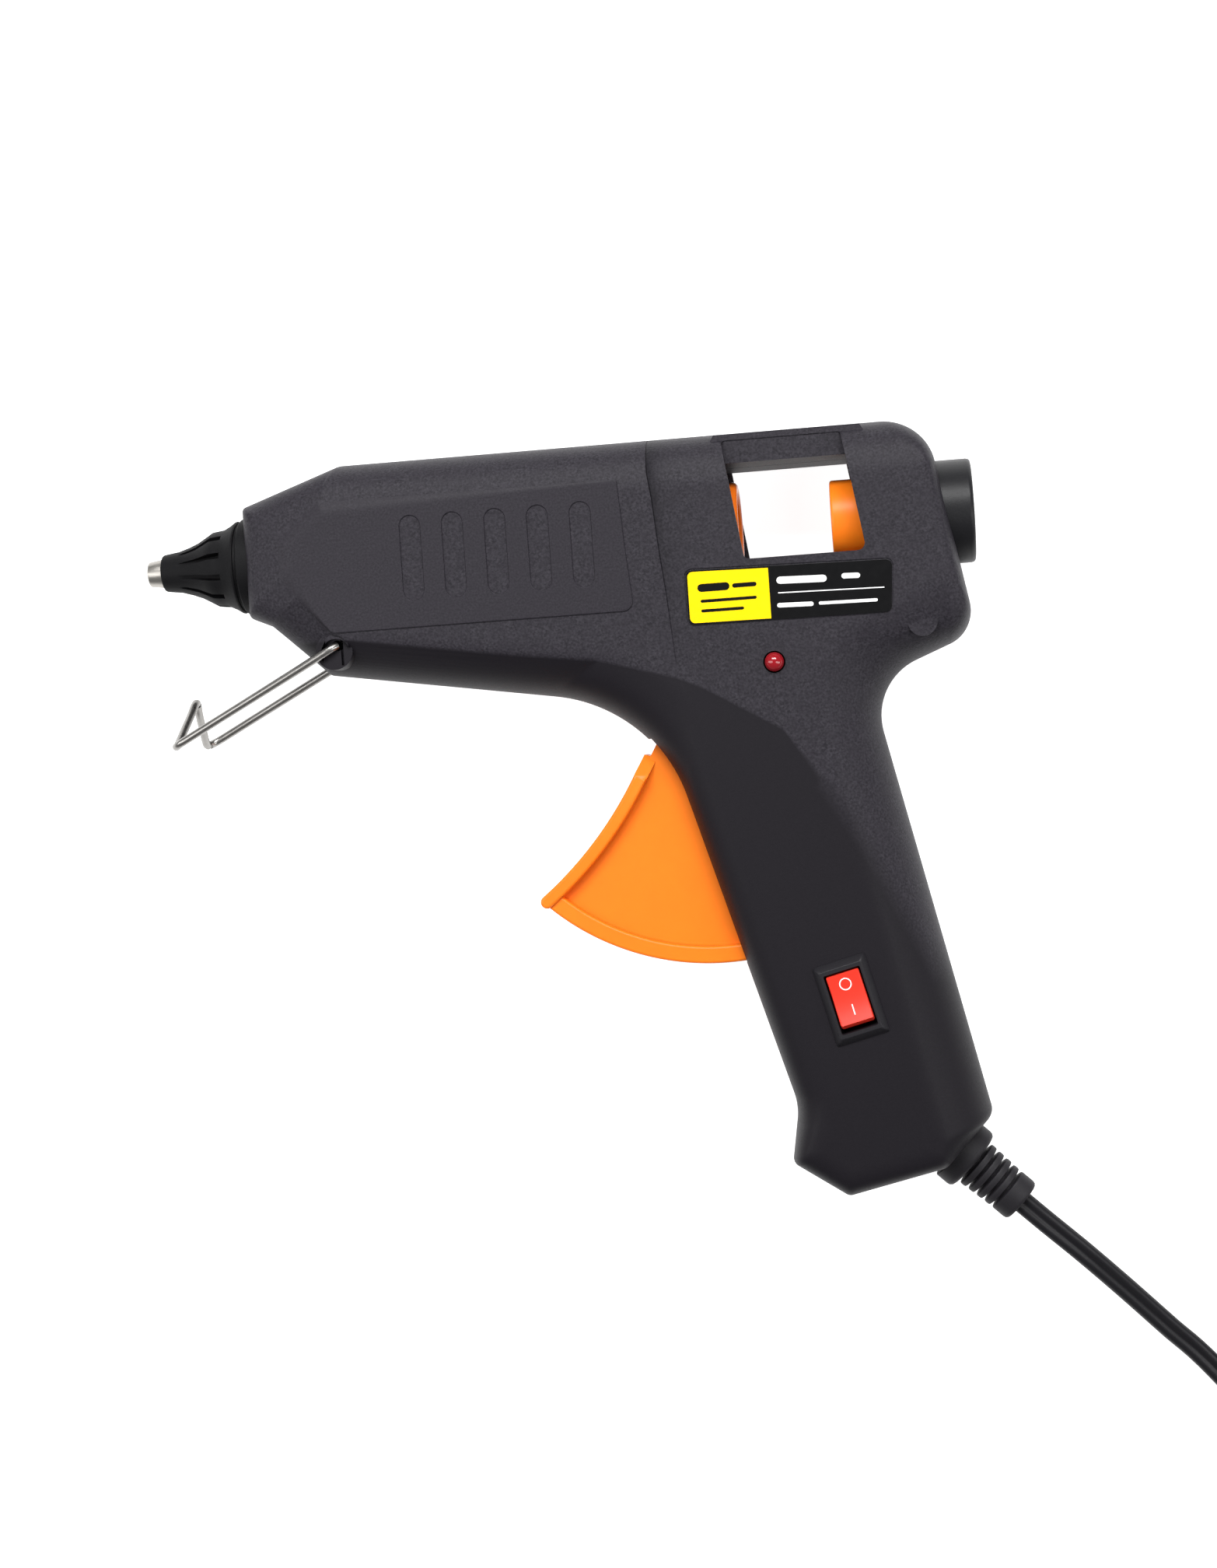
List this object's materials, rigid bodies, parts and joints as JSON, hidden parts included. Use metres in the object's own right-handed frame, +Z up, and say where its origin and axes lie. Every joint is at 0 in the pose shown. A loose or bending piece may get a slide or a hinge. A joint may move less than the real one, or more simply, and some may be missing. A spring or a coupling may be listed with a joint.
{
  "type": "glue gun",
  "caption": "Corded hot glue gun with a pistol grip, pull trigger, finned nozzle cover, fold-out wire stand, rocker switch and a see-through stick window.",
  "frame": {"origin": "bottom centre of the gun's box, without the lead, as it lies on its right side", "axes": "+X from the nozzle to the rear of the barrel, +Y towards the top of the barrel, +Z up through the left side"},
  "size_m": [0.324, 0.2633, 0.036],
  "materials": {
    "charcoal_plastic": "fine spark-eroded texture, satin",
    "black_plastic": "satin",
    "switch_plastic": "gloss",
    "orange_plastic": "satin",
    "orange_silicone": "glossy",
    "black_rubber": "matt",
    "nickel": "satin plated",
    "bright_wire": "bright",
    "steel": "bright zinc",
    "aluminium": "cast",
    "brass": "bright",
    "ceramic": "matt",
    "insulation_film": "gloss film",
    "red_lens": "clear red",
    "circuit_board": "satin",
    "resistor_body": "matt",
    "red_plastic": "gloss",
    "label": "gloss print",
    "cord_jacket": "satin",
    "brown_insulation": "satin",
    "blue_insulation": "satin",
    "red_insulation": "satin"
  },
  "bodies": {
    "housing": {"clamp_screw_1": "steel", "clamp_screw_2": "steel", "contact_plate_lower": "brass", "contact_plate_upper": "brass", "cord": "cord_jacket", "cord_clamp": "black_plastic", "cord_coil": "cord_jacket", "cord_tail": "cord_jacket", "heater_clip": "steel", "heater_insulation": "insulation_film", "heater_wire": "brown_insulation", "housing_screw_1": "steel", "housing_screw_2": "steel", "housing_screw_3": "steel", "housing_screw_4": "steel", "housing_screw_5": "steel", "housing_screw_6": "steel", "inner_cord": "cord_jacket", "label_plate": "label", "lamp_wire": "red_insulation", "led_board": "circuit_board", "led_lens": "red_lens", "led_resistor": "resistor_body", "left_shell": "charcoal_plastic", "live_wire": "brown_insulation", "melt_chamber": "aluminium", "neutral_wire": "blue_insulation", "nozzle_cover": "black_rubber", "nozzle_tip": "nickel", "plug_body": "black_plastic", "plug_pin_1": "nickel", "plug_pin_2": "nickel", "ptc_heater": "ceramic", "rear_guide": "black_plastic", "return_spring": "steel", "right_shell": "charcoal_plastic", "sleeve_clamp": "steel", "stick_sleeve": "orange_silicone", "strain_relief": "black_rubber", "switch_body": "switch_plastic", "switch_terminal_1": "brass", "switch_terminal_2": "brass", "trigger_pin": "steel", "valve_ball": "steel", "valve_spring": "steel"},
    "trigger": {"trigger": "orange_plastic", "link_pin_trigger": "steel"},
    "feed_link": {"feed_link": "steel"},
    "feed_carriage": {"feed_carriage": "orange_plastic", "link_pin_carriage": "steel"},
    "stand": {"stand_wire": "bright_wire"},
    "rocker": {"rocker": "red_plastic"}
  },
  "joints": [
    {"name": "trigger_pull", "type": "hinge", "parent": "housing", "child": "trigger", "pos_m": [0.03179, 0.02871, 0.0165], "axis": [0, 0, 1], "range_deg": [0, 21], "stiffness_Nm_per_rad": 0.6, "springref_deg": -11.46},
    {"name": "carriage_feed", "type": "slide", "parent": "housing", "child": "feed_carriage", "axis": [-1, 0, 0], "range_m": [0, 0.009], "deforming": ["return_spring"]},
    {"name": "link_swing", "type": "hinge", "parent": "trigger", "child": "feed_link", "pos_m": [0.04149, 0.05201, 0.0165], "axis": [0, 0, 1], "range_deg": [-24.5, 0]},
    {"name": "stand_fold", "type": "hinge", "parent": "housing", "child": "stand", "pos_m": [-0.0514, 0.0492, 0.001], "axis": [0, 0, 1], "range_deg": [0, 125]},
    {"name": "switch_rock", "type": "hinge", "parent": "housing", "child": "rocker", "pos_m": [0.0608, -0.03889, 0.0295], "axis": [0.969, 0.247, 0], "range_deg": [0, 16]}
  ],
  "couplings": [
    {"joint": "carriage_feed", "follows": "trigger_pull", "m_per_rad": 0.02406},
    {"joint": "link_swing", "follows": "trigger_pull", "ratio": -1.154}
  ]
}
